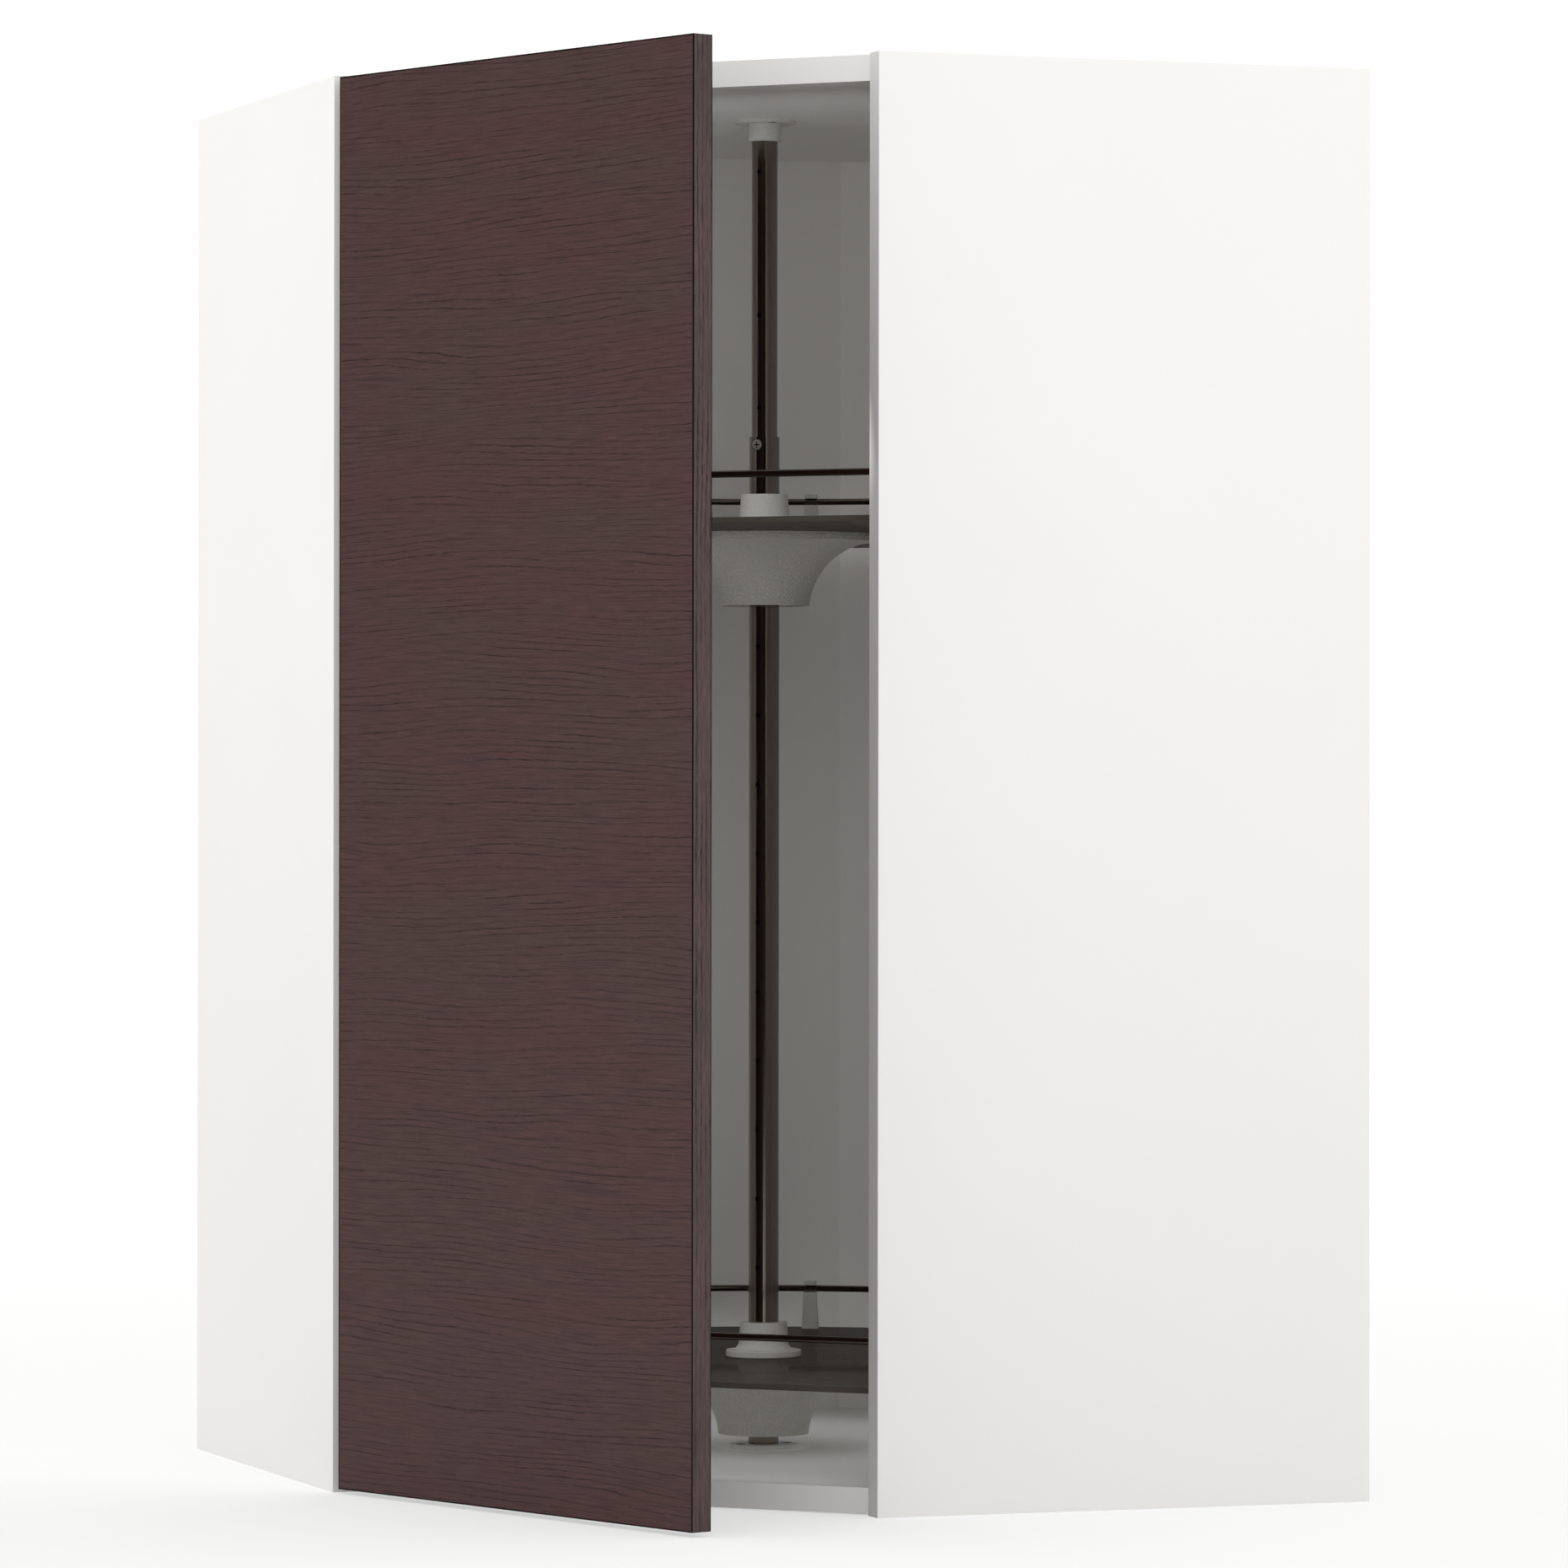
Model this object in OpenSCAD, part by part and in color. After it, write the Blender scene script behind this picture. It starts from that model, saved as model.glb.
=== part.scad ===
// Corner carousel wall cabinet.
//
// A pentagonal cabinet for the corner where two walls meet at a right angle. Its two end panels
// stand square to the walls, a diagonal door closes the front, and two D-shaped trays turn about
// one fixed pole. The door hangs on three concealed corner hinges.
//
// Frame: +Z is up, -Y is the front, and the origin is on the pole's axis, level with the lower ends
// of the end panels. The cabinet is drawn with its door open by door_open_angle.
// Most of the case is drawn along the walls first: x runs along one wall, y along the other, and
// in_walls() turns that plan by 45 degrees. Left-hand pieces mirror the right-hand ones.

/* [Case] */
// Overall height of the case
cabinet_h = 1000; // [940:1:1200]
// Length of the case along each wall
wall_w = 665; // [655:1:720]
// Depth of each end panel, from the wall to its front edge
end_d = 366; // [355:1:380]
// Thickness of the boards
board_t = 18; // [16:0.5:20]
// How far the top and bottom panels stand inside the ends of the upright panels
panel_inset = 1; // [0.5:0.5:6]
// Thickness of the back panels
back_t = 4; // [3:0.5:6]
// Service gap between each back panel and its wall
service_gap = 16; // [12:1:24]
// Depth of the grooves that hold the back panels
groove_d = 6; // [4:0.5:8]
// How much of each wall's length the slanted corner panel takes away inside
corner_cut = 158; // [120:1:180]
// Height of the rails that the case hangs by
hang_rail_h = 80; // [50:1:120]
// Diameter of the wall-fixing holes in the hanging rails
hang_hole_d = 8; // [5:0.5:10]

/* [Case joints] */
// Diameter of the cam locks
cam_d = 15; // [12:0.5:15]
// Depth of the cam locks
cam_h = 12.5; // [11:0.5:13]
// Distance from a panel's edge to the centre of its cams
cam_setback = 24; // [20:1:34]
// Diameter of the bolts that the cams pull on
cam_bolt_d = 5; // [4:0.5:6]
// Diameter of the wooden dowels
dowel_d = 8; // [6:0.5:9]
// Length of the wooden dowels
dowel_l = 30; // [24:1:36]
// Distance from an upright panel's edges to its first and last cam bolt
joint_end_gap = 50; // [40:1:60]

/* [Door] */
// Thickness of the door
door_t = 16; // [15:0.5:18]
// Gap between the door's top edge and the top of the case
door_top_gap = 2.2; // [1.5:0.1:5]
// Gap between the door's bottom edge and the bottom of the case
door_bottom_gap = 3.4; // [1.5:0.1:5]
// How far each side edge of the door stays inside the front opening
door_side_gap = 0.2; // [0.2:0.1:2]
// Gap between the closed door and the case
door_stand_off = 2; // [1.5:0.1:3]
// Thickness of the edging round the door
edging_t = 1; // [0.6:0.1:2]
// Angle by which the door stands open here
door_open_angle = 25.1; // [5:0.1:60]

/* [Hinges] */
// Height of the lowest hinge, and the same from the top of the case to the highest
hinge_end_gap = 165; // [150:1:240]
// Diameter of the hinge cups
cup_d = 35; // [35:1:36]
// Depth of the hinge cups
cup_depth = 12; // [11:0.5:12.5]
// Distance from the door's hinge edge to the centre of the cups
cup_edge_gap = 22; // [21:0.5:24]
// Thickness of the hinges' sheet steel
hinge_sheet_t = 1.2; // [1:0.1:1.5]
// Diameter of the hinge pins
hinge_pin_d = 3; // [2.5:0.1:3.2]
// Distance from the end panel's face to the pin in the hinge arm's nose
arm_pin_off = 13.5; // [13:0.1:15]
// How far that pin stands in front of the end panel's inner arris
arm_pin_reach = 8.8; // [8:0.1:9.5]
// Spacing of the mounting plate's two screws
plate_screw_pitch = 32; // [28:1:36]
// Distance from the front of the end panel to the mounting plate's screws
plate_setback = 37; // [34:1:42]

/* [Pole] */
// Distance from the front arrises of the end panels back to the pole
pole_setback = 262.6; // [258:0.1:270]
// Diameter of the lower tube
lower_tube_d = 22; // [20:0.5:25]
// Wall of both tubes
tube_wall = 1.5; // [1.2:0.1:2]
// Height of the lower tube's top
lower_tube_top = 752; // [740:1:790]
// Length of the upper tube that is held inside the lower one
tube_overlap = 92; // [70:1:98]
// Spacing of the lower tube's holes
hole_pitch = 50; // [45:1:50]
// Diameter of the tubes' holes
hole_d = 3.2; // [3:0.1:4]
// Distance of the clamp screw below the lower tube's top
clamp_drop = 6; // [5:0.5:12]
// Diameter of the flange under the pole
base_flange_d = 49.2; // [46:0.2:60]
// Thickness of the flange under the pole
base_flange_t = 3; // [2:0.2:5]
// Diameter of the flange at the ceiling
ceiling_flange_d = 45; // [42:0.5:60]
// Thickness of the flange at the ceiling
ceiling_flange_t = 2; // [1.5:0.1:4]
// How far the ceiling flange's collar reaches down
ceiling_collar_h = 12.7; // [10:0.1:30]

/* [Trays] */
// Radius of the trays
tray_r = 296; // [280:1:298]
// Distance from the pole to the trays' straight front edge
tray_front = 225; // [200:1:230]
// Thickness of the trays
tray_t = 4.2; // [3:0.1:6]
// Number of holes between the two hub pins
tray_hole_steps = 12; // [10:1:12]
// Radius of the trays' two front corners
tray_corner_r = 16; // [10:1:30]
// Diameter of the rail's wire
wire_d = 4.9; // [4:0.1:6]
// Height of the rail's centre above the tray
rail_h = 30.5; // [24:0.5:40]
// How far the rail stands inside the tray's edge
rail_inset = 16; // [12:1:20]
// Radius of the rail's two bends
rail_bend_r = 10; // [8:1:16]
// Width of a rail post's foot
post_w = 12; // [10:0.5:14]

/* [Tray hubs] */
// Diameter of the bell's lower rim
bell_rim_d = 65.5; // [60:0.5:75]
// Height of the bell, up to the tray
bell_h = 51.6; // [48:0.2:56]
// How far below the rim the flare's round has its centre, which slopes the wall at the rim
flare_drop = 4; // [0:0.5:8]
// Wall of the bell
bell_wall = 2.4; // [2:0.1:3]
// Thickness of the bell's flange under the tray
bell_flange_t = 3; // [2.5:0.1:4]
// How far the flange reaches past the flare
bell_flange_lip = 3; // [2:0.1:9]
// Diameter of the collar's foot
collar_foot_d = 54.6; // [52:0.2:60]
// Height of the collar's foot
collar_foot_h = 5; // [4:0.1:7]
// Height of the collar
collar_h = 25; // [20:0.5:30]
// Diameter of the collar's ring at its top
collar_top_d = 34.1; // [32:0.1:36]
// Distance from the tray's top down to the hub pin
hub_drop = 35.3; // [34:0.1:38]
// Circle on which the hub screws stand, as a radius
hub_screw_r = 21; // [20:0.5:22]

/* [Fits] */
// Radial clearance of a piece that turns on a tube or pin
running_gap = 0.08; // [0.05:0.01:0.1]
// Clearance where a piece is pushed into its seat
seat_gap = 0.1; // [0.05:0.01:0.15]
// Gap between a turning piece and what it rests on
thrust_gap = 0.3; // [0.2:0.05:0.4]

/* [Hidden] */
$fn = 96;

WHITE = "#F3F2EE";
PLASTIC = "#A5A49F";
STEEL = "#8E8B86";
DARK_STEEL = "#4A4642";
SMOKE = [0.25, 0.24, 0.22, 0.75];
WOOD = "#C9A877";
FOIL = "#513A38";
EDGE_FOIL = "#463230";

root2 = sqrt(2);
over = 1;                                    // how far a cut runs past the face that it opens

// Plan of the case, along the walls
end_x = wall_w - end_d;                      // front edge of the right end panel
back_x = wall_w - service_gap - back_t;      // inner face of the right back panel
corner_y = wall_w - corner_cut;              // where the corner panel's inner face meets it
corner_rear = wall_w - corner_cut + back_x + board_t * root2 - wall_w;
plan_shift = end_x / root2 + pole_setback;   // from the plan's origin to the pole

// Heights
panel_top = cabinet_h - panel_inset;
ceiling_z = panel_top - board_t;
floor_z = panel_inset + board_t;
panel_mid = panel_top - board_t / 2;

// Front opening, in the part's own frame
opening_half = (end_x - board_t) / root2;
front_y = (end_x + board_t) / root2 - plan_shift;
corner_face_y = (corner_y + back_x) / root2 - plan_shift;

// Case joints: distances along an upright panel from its front edge
cam_rows = [joint_end_gap, end_d - joint_end_gap];
dowel_offset = 32;                           // from a cam bolt to its dowel, towards the middle
dowel_rows = [joint_end_gap + dowel_offset, end_d - joint_end_gap - dowel_offset];
corner_cam_x = 55;                           // cams of the corner panel, either side of the middle
cam_bolt_grip = 11;                          // depth of the bolt's thread in the upright panel
cam_bore_d = 8;                              // bore from the panel's edge to the cam
cam_head_d = 7;                              // head of the bolt, inside the cam

// Wall-fixing holes, as distances along the wall from the end panel's inner face
hang_rows = [82, 332];

// Door, as closed
door_w = 2 * (opening_half - door_side_gap);
door_h = cabinet_h - door_top_gap - door_bottom_gap;
door_back_y = front_y - door_stand_off;
door_edge_x = -door_w / 2;
bumper_t = door_stand_off - thrust_gap;
bumper_r = 4.5;
bumper_in = 14;                              // from the door's free edge to a bumper's centre

// Hinge geometry in plan. Each hinge is a parallelogram of two links: the door swings about
// swing_axis, which lies beside its edge, where no pin could stand.
swing_side = 8;                              // from the door's edge out to the swing axis
swing_depth = 8.3;                           // from the door's back face forward to it
cup_pin_edge = 14;                           // from the door's edge to the cup's pin
cup_pin_depth = 4.5;                         // from the door's back face to the cup's pin
swing_axis = [door_edge_x - swing_side, door_back_y - swing_depth];
cup_pin_closed = [door_edge_x + cup_pin_edge, door_back_y - cup_pin_depth];
arm_pin = [-opening_half + (arm_pin_off + arm_pin_reach) / root2,
    front_y + (arm_pin_off - arm_pin_reach) / root2];
crank = turned(cup_pin_closed - swing_axis, -door_open_angle);
knee_pin = arm_pin + crank;
cup_pin = swing_axis + crank;
hinge_heights = [hinge_end_gap, cabinet_h / 2, cabinet_h - hinge_end_gap];

// Hinge pieces, as half-widths across the hinge and as radii
eye_r = 3.2;
nose_r = 4.3;
outer_link_half = 4;
inner_link_in = outer_link_half + 0.4;
inner_link_out = inner_link_in + hinge_sheet_t;
arm_in = inner_link_out + 0.2;
arm_out = arm_in + hinge_sheet_t;
arm_end = 62;                                // from the inner arris to the arm's far end
arm_foot = 6;                                // from the end panel's face to the arm's cheeks
arm_web_start = -3;                          // where the arm's web begins, behind its open nose
plate_t = 2;
plate_wing_r = 6;
plate_body = [20, 60];                       // the plate's body, from the inner arris
plate_body_half = arm_in - 0.3;
arm_screw_rows = [29, 51];
arm_top = arm_pin_off + nose_r;
plate_screw_l = 12;
cup_screw_pitch = 48;
cup_screw_in = 6;                            // from the cup's centre, away from the door's edge
cup_screw_l = 11;

// Pole
lower_tube_r = lower_tube_d / 2;
upper_tube_r = lower_tube_r - tube_wall - seat_gap;
pole_foot_z = floor_z + base_flange_t;
pole_head_z = ceiling_z - ceiling_flange_t - thrust_gap;
clamp_z = lower_tube_top - clamp_drop;
clamp_screw_d = 4;
spigot_h = 15;
base_screw_r = 17.5;
ceiling_screw_r = 17;
flange_screw_d = 4;
flange_screw_l = 14;
first_hole_z = 50;                           // lowest hole, which takes the lower hub pin
hole_count = tray_hole_steps + 1;
adjust_holes = [27, 94, 198];                // upper tube's holes, above the clamp screw

// Trays and hubs
pin_heights = [first_hole_z, first_hole_z + tray_hole_steps * hole_pitch];
hub_pin_d = 3;
hub_pin_l = 34;
ring_r = 17;
ring_below = 0.5;                            // how far a thrust ring reaches below its pin's axis
ring_above = 4;                              // and above it
sleeve_r = 14;
bell_z = hub_drop - tray_t - bell_h;         // bell's rim above the hub pin
web_z = bell_h - bell_flange_t;              // underside of the bell's web
flare_r = web_z - bell_wall + 0.3 + flare_drop;  // so the flare's wall always ends in the web
// The flare's widest point, which is above the centre of its round
flare_x = bell_rim_d / 2 + sqrt(pow(flare_r, 2) - pow(flare_drop, 2));
rib_count = 6;
hub_screw_d = 4;
hub_screw_grip = 4.2;                        // depth of a hub screw in the collar
rail_r = tray_r - rail_inset;
rail_front = tray_front - rail_inset;
post_d = 10;
post_top_w = 8.5;
post_top_d = 8;
post_cap_h = 3.2;                            // above the wire
post_screw_d = 3.4;
post_screw_grip = 10;
post_angles = [-108, -63, -18.2, 18.2, 63, 108]; // measured from the rear, about the pole

// ---- Placing ----

function turned(p, a) = [p[0] * cos(a) - p[1] * sin(a), p[0] * sin(a) + p[1] * cos(a)];

module in_walls() translate([0, -plan_shift, 0]) rotate(45) children();
module left_hand() mirror([1, 0, 0]) children();
module both_hands() {
    children();
    left_hand() children();
}
module flipped() translate([0, 0, cabinet_h]) mirror([0, 0, 1]) children();
module at_hinges() for (z = hinge_heights) translate([0, 0, z]) children();
module at_pins() for (z = pin_heights) translate([0, 0, z]) children();
// x is the distance off the left end panel's inner face, y the distance behind its front arris
module at_left_arris() translate([-opening_half, front_y, 0]) rotate(45) children();
// Turns a piece of the closed door about the swing axis to where the door stands
module opened() translate(swing_axis) rotate(-door_open_angle) translate(-swing_axis) children();
// x runs from the door's hinge edge, y is height, and z goes into the closed door from its back
module on_door_back() translate([door_edge_x, door_back_y, 0]) rotate([90, 0, 0]) children();
module at_plan(p) translate([p[0], p[1], 0]) children();

// ---- Shared shapes ----

// Flat cross recess, cut down from z = 0
module cross_recess(size, depth) for (a = [0, 90]) rotate(a)
    translate([-size / 2, -size / 10, -depth]) cube([size, size / 5, depth + over]);

// Pan-head screw: the head stands on z = 0, the shank goes down
module pan_screw(shank_d, length, head_d, head_h) difference() {
    union() {
        translate([0, 0, -length]) cylinder(d = shank_d, h = length);
        rotate_extrude() intersection() {
            square([head_d / 2, head_h]);
            translate([0, head_h - head_d * 1.1]) circle(r = head_d * 1.1);
        }
    }
    translate([0, 0, head_h]) cross_recess(head_d * 0.55, head_h * 0.55);
}

// Countersunk screw: the head's flat is at z = 0
module flat_screw(shank_d, length, head_d, head_h) difference() {
    union() {
        translate([0, 0, -length]) cylinder(d = shank_d, h = length);
        translate([0, 0, -head_h]) cylinder(d1 = shank_d, d2 = head_d, h = head_h);
    }
    cross_recess(head_d * 0.55, head_h * 0.6);
}

// Outline of a disc with a straight front edge and two rounded corners
module d_outline(r, front, corner_r) {
    cy = corner_r - front;
    cx = sqrt(pow(r - corner_r, 2) - cy * cy);
    tangent = [cx, cy] * r / (r - corner_r);
    difference() {
        circle(r = r, $fn = 180);
        translate([-r, -r]) square([2 * r, r - front]);
        for (s = [-1, 1]) scale([s, 1])
            polygon([[cx, cy], [cx, -front - over], [r, -front - over], [r, tangent[1]], tangent]);
    }
    for (s = [-1, 1]) translate([s * cx, cy]) circle(r = corner_r);
}

// Straight link with a round eye at each end, from the origin to p
module link_outline(p, half_w) {
    length = norm(p);
    rotate(atan2(p[1], p[0])) {
        translate([0, -half_w]) square([length, 2 * half_w]);
        for (x = [0, length]) translate([x, 0]) circle(r = eye_r, $fn = 48);
    }
}

// Extruded either side of z = 0, between two distances
module cheeks(inner, outer) for (z = [-outer, inner]) translate([0, 0, z])
    linear_extrude(height = outer - inner) children();

// ---- Case ----

// Bores for one cam, its bolt and the bolt's thread. The upright panel's face is at y = 0 and the
// horizontal panel lies in y > 0, with z = 0 at its middle.
module cam_cuts() {
    translate([0, cam_setback, board_t / 2 - cam_h - seat_gap])
        cylinder(d = cam_d + 2 * seat_gap, h = cam_h + over);
    rotate([-90, 0, 0]) cylinder(d = cam_bore_d, h = cam_setback);
    translate([0, -cam_bolt_grip - seat_gap, 0]) rotate([-90, 0, 0])
        cylinder(d = cam_bolt_d + 2 * seat_gap, h = cam_bolt_grip + over);
}
module dowel_cuts() translate([0, -dowel_l / 3 - seat_gap, 0]) rotate([-90, 0, 0])
    cylinder(d = dowel_d + 2 * seat_gap, h = dowel_l + 2 * seat_gap);

module at_end_joints(rows) in_walls() for (x = rows)
    translate([end_x + x, board_t, panel_mid]) children();
module at_corner_joints() for (s = [-1, 1])
    translate([s * corner_cam_x, corner_face_y, panel_mid]) rotate(180) children();
// Every joint of one level of the case
module at_level_cams() {
    both_hands() at_end_joints(cam_rows) children();
    at_corner_joints() children();
}
module at_level_dowels() both_hands() at_end_joints(dowel_rows) children();
module both_levels() {
    children();
    flipped() children();
}

module hang_holes() for (y = hang_rows)
    translate([back_x - over, board_t + y, ceiling_z - hang_rail_h / 2]) rotate([0, 90, 0])
        cylinder(d = hang_hole_d, h = wall_w - back_x + 2 * over);

module end_panel() color(WHITE) difference() {
    in_walls() difference() {
        translate([end_x, 0, 0]) cube([end_d, board_t, cabinet_h]);
        translate([back_x, board_t - groove_d, -over])
            cube([back_t + seat_gap, groove_d + over, cabinet_h + 2 * over]);
    }
    both_levels() {
        at_end_joints(cam_rows) cam_cuts();
        at_end_joints(dowel_rows) dowel_cuts();
    }
}
module right_end_panel() end_panel();
module left_end_panel() color(WHITE) difference() {
    left_hand() end_panel();
    at_hinges() at_left_arris() for (s = [-1, 1])
        translate([-plate_screw_l, plate_setback, s * plate_screw_pitch / 2]) rotate([0, 90, 0])
            cylinder(d = flange_screw_d + 2 * seat_gap, h = plate_screw_l + over);
}

// Pentagon with its rear corner cut back to the corner panel
module level_outline() polygon([[end_x, board_t], [wall_w, board_t], [wall_w, corner_y],
    [back_x, corner_y], [corner_y, back_x], [corner_y, wall_w], [board_t, wall_w],
    [board_t, end_x]]);

module level_panel() difference() {
    in_walls() difference() {
        translate([0, 0, ceiling_z]) linear_extrude(height = board_t) level_outline();
        for (s = [0, 1]) mirror([s, -s, 0]) translate([back_x, board_t - over, ceiling_z - over])
            cube([back_t + seat_gap, corner_y - board_t + 2 * over, groove_d + over]);
    }
    at_level_cams() cam_cuts();
    at_level_dowels() dowel_cuts();
}
module flange_pilots(r, angle, z) for (a = [angle, angle + 180]) rotate(a) translate([r, 0, z])
    cylinder(d = flange_screw_d + 2 * seat_gap, h = flange_screw_l);

module top_panel() color(WHITE) difference() {
    level_panel();
    flange_pilots(ceiling_screw_r, -45, ceiling_z - over);
}
module bottom_panel() color(WHITE) difference() {
    flipped() level_panel();
    flange_pilots(base_screw_r, 45, floor_z + over - flange_screw_l);
}

module back_panel() color(WHITE) in_walls() difference() {
    translate([back_x, board_t - groove_d + thrust_gap, floor_z - groove_d + thrust_gap])
        cube([back_t, corner_y - board_t + groove_d - thrust_gap,
            ceiling_z - floor_z + 2 * (groove_d - thrust_gap)]);
    hang_holes();
}
module right_back_panel() back_panel();
module left_back_panel() left_hand() back_panel();

module corner_back_panel() color(WHITE) difference() {
    in_walls() linear_extrude(height = cabinet_h) polygon([[corner_y, back_x], [back_x, corner_y],
        [wall_w, corner_y], [wall_w, corner_rear], [corner_rear, wall_w], [corner_y, wall_w]]);
    both_levels() at_corner_joints() cam_cuts();
}

module hanging_rail(z) in_walls() translate([back_x + back_t, board_t, z])
    cube([service_gap, corner_y - board_t, hang_rail_h]);
module upper_hanging_rails() color(WOOD) both_hands() difference() {
    hanging_rail(ceiling_z - hang_rail_h);
    in_walls() hang_holes();
}
module lower_hanging_rails() color(WOOD) both_hands() hanging_rail(floor_z);

module cam_lock() translate([0, cam_setback, board_t / 2 - cam_h]) difference() {
    cylinder(d = cam_d, h = cam_h);
    // Throat for the bolt's head, open towards the panel's edge
    translate([0, 0, cam_h - board_t / 2]) rotate([90, 0, 0])
        cylinder(d = cam_bolt_d + 0.6, h = cam_d);
    translate([0, 1, cam_h - board_t / 2]) rotate([90, 0, 0])
        cylinder(d = cam_head_d + 0.6, h = cam_d / 2 - 1);
    translate([0, 0, cam_h]) cross_recess(8, 2.5);
}
module cam_locks() color(STEEL) both_levels() at_level_cams() cam_lock();

module cam_bolt() rotate([-90, 0, 0]) {
    translate([0, 0, -cam_bolt_grip]) cylinder(d = cam_bolt_d, h = cam_bolt_grip + cam_setback - 3);
    cylinder(d = cam_head_d, h = 1.5);
    translate([0, 0, cam_setback - 4]) cylinder(d = cam_head_d, h = 3);
}
module cam_bolts() color(STEEL) both_levels() at_level_cams() cam_bolt();

module dowels() color(WOOD) both_levels() at_level_dowels() translate([0, -dowel_l / 3, 0])
    rotate([-90, 0, 0]) cylinder(d = dowel_d, h = dowel_l);

// ---- Pole ----

module base_flange() color(PLASTIC) difference() {
    translate([0, 0, floor_z]) {
        cylinder(d = base_flange_d, h = base_flange_t);
        cylinder(r = lower_tube_r - tube_wall - seat_gap, h = base_flange_t + spigot_h);
    }
    for (a = [45, 225]) rotate(a) translate([base_screw_r, 0, floor_z - over]) {
        cylinder(d = flange_screw_d + 4 * seat_gap, h = base_flange_t + 2 * over);
        translate([0, 0, over + base_flange_t - 2])
            cylinder(d1 = flange_screw_d + 4 * seat_gap, d2 = 8.2, h = 2.01);
    }
}
module base_flange_screws() color(DARK_STEEL) for (a = [45, 225]) rotate(a)
    translate([base_screw_r, 0, floor_z + base_flange_t])
        flat_screw(flange_screw_d, flange_screw_l, 7.6, 1.9);

module ceiling_flange() color(PLASTIC) difference() {
    union() {
        translate([0, 0, ceiling_z - ceiling_flange_t])
            cylinder(d = ceiling_flange_d, h = ceiling_flange_t);
        translate([0, 0, ceiling_z - ceiling_flange_t - ceiling_collar_h])
            cylinder(r = upper_tube_r + 2.5 + seat_gap, h = ceiling_collar_h);
    }
    translate([0, 0, ceiling_z - ceiling_flange_t - ceiling_collar_h - over])
        cylinder(r = upper_tube_r + seat_gap, h = ceiling_collar_h + over);
    for (a = [-45, 135]) rotate(a) translate([ceiling_screw_r, 0, ceiling_z]) mirror([0, 0, 1]) {
        translate([0, 0, -over])
            cylinder(d = flange_screw_d + 4 * seat_gap, h = ceiling_flange_t + 2 * over);
        translate([0, 0, ceiling_flange_t - 1.4])
            cylinder(d1 = flange_screw_d + 4 * seat_gap, d2 = 7, h = 1.41);
    }
}
module ceiling_flange_screws() color(DARK_STEEL) for (a = [-45, 135]) rotate(a)
    translate([ceiling_screw_r, 0, ceiling_z - ceiling_flange_t]) mirror([0, 0, 1])
        flat_screw(flange_screw_d, flange_screw_l - 2, 6.4, 1.3);

module tube(r, z0, z1) difference() {
    translate([0, 0, z0]) cylinder(r = r, h = z1 - z0);
    translate([0, 0, z0 - over]) cylinder(r = r - tube_wall, h = z1 - z0 + 2 * over);
}
module front_hole(d, z, through) translate([0, through ? lower_tube_d : 0, z]) rotate([90, 0, 0])
    cylinder(d = d, h = through ? 2 * lower_tube_d : lower_tube_d, $fn = 32);

module lower_pole_tube() color(STEEL) difference() {
    tube(lower_tube_r, pole_foot_z, lower_tube_top);
    for (i = [0 : hole_count - 1]) front_hole(hole_d, first_hole_z + i * hole_pitch, true);
    front_hole(clamp_screw_d + 2 * seat_gap, clamp_z, false);
}
module upper_pole_tube() color(STEEL) difference() {
    tube(upper_tube_r, lower_tube_top - tube_overlap, pole_head_z);
    for (h = adjust_holes) front_hole(hole_d, clamp_z + h, false);
    front_hole(clamp_screw_d + 2 * seat_gap, clamp_z, false);
}
module pole_clamp_screw() color(STEEL) translate([0, -lower_tube_r - seat_gap, clamp_z])
    rotate([90, 0, 0]) pan_screw(clamp_screw_d, 6, 8.4, 2.6);

module hub_support_pins() color(STEEL) at_pins() translate([0, hub_pin_l / 2, 0])
    rotate([90, 0, 0]) cylinder(d = hub_pin_d, h = hub_pin_l, $fn = 48);
module thrust_rings() color(PLASTIC) at_pins() difference() {
    translate([0, 0, -ring_below]) cylinder(r = ring_r, h = ring_below + ring_above);
    translate([0, 0, -ring_below - over])
        cylinder(r = lower_tube_r + seat_gap, h = ring_below + ring_above + 2 * over);
    translate([0, ring_r + over, 0]) rotate([90, 0, 0])
        cylinder(d = hub_pin_d + 2 * seat_gap, h = 2 * (ring_r + over), $fn = 48);
    translate([-hub_pin_d / 2 - seat_gap, -ring_r - over, -ring_below - over])
        cube([hub_pin_d + 2 * seat_gap, 2 * (ring_r + over), ring_below + over]);
}

// ---- Hinges ----

module hinge_plates() color(STEEL) at_hinges() at_left_arris() difference() {
    union() {
        rotate([90, 0, 90]) linear_extrude(height = plate_t) {
            translate([plate_setback - plate_wing_r, -plate_screw_pitch / 2])
                square([2 * plate_wing_r, plate_screw_pitch]);
            for (s = [-1, 1]) translate([plate_setback, s * plate_screw_pitch / 2])
                circle(r = plate_wing_r);
        }
        translate([0, plate_body[0], -plate_body_half])
            cube([arm_top - hinge_sheet_t - thrust_gap, plate_body[1] - plate_body[0],
                2 * plate_body_half]);
    }
    for (s = [-1, 1]) translate([-over, plate_setback, s * plate_screw_pitch / 2])
        rotate([0, 90, 0]) cylinder(d = flange_screw_d + 2 * seat_gap, h = plate_t + 2 * over);
    for (u = arm_screw_rows) translate([arm_foot, u, 0]) rotate([0, 90, 0])
        cylinder(d = flange_screw_d + 2 * seat_gap, h = arm_top);
}
module hinge_plate_screws() color(STEEL) at_hinges() at_left_arris() for (s = [-1, 1])
    translate([plate_t, plate_setback, s * plate_screw_pitch / 2]) rotate([0, 90, 0])
        pan_screw(flange_screw_d, plate_screw_l + plate_t - 1, 7.6, 2.2);

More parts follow.
